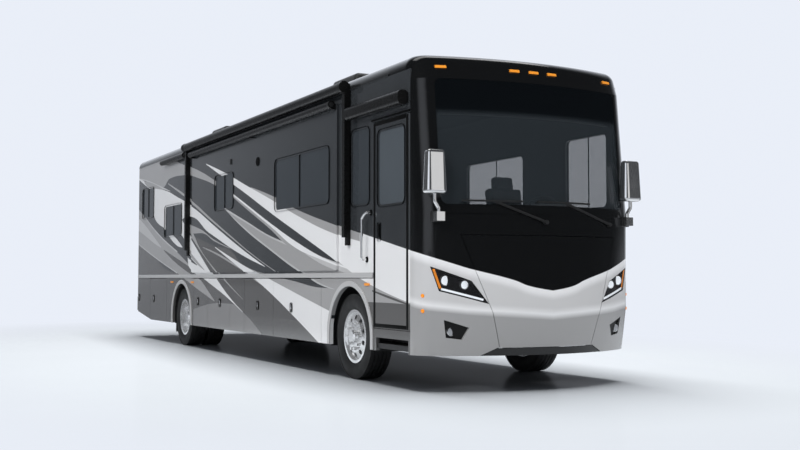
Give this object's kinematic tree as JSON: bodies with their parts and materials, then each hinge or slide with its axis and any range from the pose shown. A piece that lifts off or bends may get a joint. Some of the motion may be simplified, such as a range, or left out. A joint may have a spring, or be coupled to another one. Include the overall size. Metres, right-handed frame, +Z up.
{
  "type": "class A motorhome",
  "caption": "Long flat-sided motorhome with a bowed front cap, slide-out room, roll-up awnings, entry door, baggage doors and a pull-out generator behind its front panel.",
  "frame": {"origin": "on the ground under the middle of the overall box", "axes": "+X to the front of the vehicle, +Y to its left, +Z up"},
  "size_m": [12.3098, 2.7566, 3.73],
  "materials": {
    "upper_paint": "gloss",
    "lower_paint": "gloss",
    "front_paint": "gloss",
    "hatch_paint": "gloss",
    "tinted_glass": "gloss",
    "tyre": "matte",
    "polished_rim": "polished",
    "frame_black": "satin",
    "engine_iron": "matte",
    "tank_metal": "satin",
    "awning_black": "satin",
    "chrome": "polished",
    "lamp_clear": "gloss",
    "lamp_amber": "gloss",
    "lamp_red": "gloss",
    "black_rubber": "matte",
    "trim_plastic": "matte",
    "seat_leather": "satin",
    "shroud_plastic": "matte",
    "bright_rail": "satin",
    "floor_wood": "satin"
  },
  "bodies": {
    "coach": {"air_springs": "black_rubber", "belt_rails": "bright_rail", "cab_seats": "seat_leather", "chassis_frame": "frame_black", "dashboard": "trim_plastic", "door_awning": "awning_black", "engine": "engine_iron", "entry_step": "frame_black", "floor": "floor_wood", "front_axle": "frame_black", "front_cap": "front_paint", "front_lamps": "trim_plastic", "fuel_tank": "tank_metal", "grab_handle": "chrome", "hitch_receiver": "frame_black", "lamp_lenses": "lamp_clear", "left_wall": "upper_paint", "marker_lamps": "lamp_amber", "mirrors": "chrome", "mud_flaps": "black_rubber", "rear_axle": "frame_black", "rear_bumper": "hatch_paint", "rear_cap": "upper_paint", "right_wall": "upper_paint", "roll_awnings": "awning_black", "roof": "upper_paint", "roof_units": "shroud_plastic", "side_windows": "tinted_glass", "skirt_panels": "lower_paint", "steering_wheel": "trim_plastic", "tail_lamps": "lamp_red", "wheel_arch_flares": "lower_paint", "windshield": "tinted_glass", "wipers": "black_rubber"},
    "knuckle_right": {"knuckle_right": "frame_black"},
    "knuckle_left": {"knuckle_left": "frame_black"},
    "wheel_front_right": {"tyre_front_right": "tyre", "rim_front_right": "polished_rim"},
    "wheel_front_left": {"tyre_front_left": "tyre", "rim_front_left": "polished_rim"},
    "wheel_rear_right": {"tyre_rear_right": "tyre", "rim_rear_right": "polished_rim"},
    "wheel_rear_left": {"tyre_rear_left": "tyre", "rim_rear_left": "polished_rim"},
    "entry_door": {"entry_door": "lower_paint", "entry_door_glass": "tinted_glass"},
    "generator_slide": {"front_panel": "front_paint", "generator": "engine_iron"},
    "engine_hatch": {"engine_hatch": "hatch_paint"},
    "slide_out": {"slide_out": "upper_paint", "slide_out_glass": "tinted_glass", "slide_topper": "awning_black"},
    "baggage_door_left_centre": {"baggage_door_left_centre": "lower_paint"},
    "baggage_door_left_front": {"baggage_door_left_front": "lower_paint"},
    "baggage_door_left_rear": {"baggage_door_left_rear": "lower_paint"},
    "baggage_door_right_centre": {"baggage_door_right_centre": "lower_paint"},
    "baggage_door_right_front": {"baggage_door_right_front": "lower_paint"},
    "baggage_door_right_middle": {"baggage_door_right_middle": "lower_paint"},
    "baggage_door_right_rear": {"baggage_door_right_rear": "lower_paint"},
    "baggage_door_right_short": {"baggage_door_right_short": "lower_paint"}
  },
  "joints": [
    {"name": "steer_right", "type": "hinge", "parent": "coach", "child": "knuckle_right", "pos_m": [4.03, -0.93, 0.476], "axis": [0, 0, 1], "range_deg": [-40, 40]},
    {"name": "steer_left", "type": "hinge", "parent": "coach", "child": "knuckle_left", "pos_m": [4.03, 0.93, 0.476], "axis": [0, 0, 1], "range_deg": [-40, 40]},
    {"name": "spin_front_right", "type": "hinge", "parent": "knuckle_right", "child": "wheel_front_right", "pos_m": [4.03, -1.112, 0.476], "axis": [0, 1, 0], "continuous": true},
    {"name": "spin_front_left", "type": "hinge", "parent": "knuckle_left", "child": "wheel_front_left", "pos_m": [4.03, 1.112, 0.476], "axis": [0, 1, 0], "continuous": true},
    {"name": "spin_rear_right", "type": "hinge", "parent": "coach", "child": "wheel_rear_right", "pos_m": [-2.9, -0.957, 0.476], "axis": [0, 1, 0], "continuous": true},
    {"name": "spin_rear_left", "type": "hinge", "parent": "coach", "child": "wheel_rear_left", "pos_m": [-2.9, 0.957, 0.476], "axis": [0, 1, 0], "continuous": true},
    {"name": "entry_door_hinge", "type": "hinge", "parent": "coach", "child": "entry_door", "pos_m": [5.475, -1.265, 1.7], "axis": [0, 0, 1], "range_deg": [0, 95]},
    {"name": "generator_slide", "type": "slide", "parent": "coach", "child": "generator_slide", "axis": [1, 0, 0], "range_m": [0, 0.65]},
    {"name": "engine_hatch_hinge", "type": "hinge", "parent": "coach", "child": "engine_hatch", "pos_m": [-6.105, 0, 1.74], "axis": [0, 1, 0], "range_deg": [0, 80]},
    {"name": "slide_out_travel", "type": "slide", "parent": "coach", "child": "slide_out", "axis": [0, -1, 0], "range_m": [0, 0.65]},
    {"name": "baggage_door_left_centre_hinge", "type": "hinge", "parent": "coach", "child": "baggage_door_left_centre", "pos_m": [0.962, 1.27, 1.104], "axis": [1, 0, 0], "range_deg": [0, 90]},
    {"name": "baggage_door_left_front_hinge", "type": "hinge", "parent": "coach", "child": "baggage_door_left_front", "pos_m": [2.379, 1.27, 1.104], "axis": [1, 0, 0], "range_deg": [0, 90]},
    {"name": "baggage_door_left_rear_hinge", "type": "hinge", "parent": "coach", "child": "baggage_door_left_rear", "pos_m": [-4.469, 1.27, 1.104], "axis": [1, 0, 0], "range_deg": [0, 90]},
    {"name": "baggage_door_right_centre_hinge", "type": "hinge", "parent": "coach", "child": "baggage_door_right_centre", "pos_m": [0.962, -1.27, 1.104], "axis": [-1, 0, 0], "range_deg": [0, 90]},
    {"name": "baggage_door_right_front_hinge", "type": "hinge", "parent": "coach", "child": "baggage_door_right_front", "pos_m": [2.379, -1.27, 1.104], "axis": [-1, 0, 0], "range_deg": [0, 90]},
    {"name": "baggage_door_right_middle_hinge", "type": "hinge", "parent": "coach", "child": "baggage_door_right_middle", "pos_m": [-0.854, -1.27, 1.104], "axis": [-1, 0, 0], "range_deg": [0, 90]},
    {"name": "baggage_door_right_rear_hinge", "type": "hinge", "parent": "coach", "child": "baggage_door_right_rear", "pos_m": [-4.469, -1.27, 1.104], "axis": [-1, 0, 0], "range_deg": [0, 90]},
    {"name": "baggage_door_right_short_hinge", "type": "hinge", "parent": "coach", "child": "baggage_door_right_short", "pos_m": [-1.816, -1.27, 1.104], "axis": [-1, 0, 0], "range_deg": [0, 90]}
  ],
  "couplings": [
    {"joint": "steer_left", "follows": "steer_right", "ratio": 1}
  ]
}
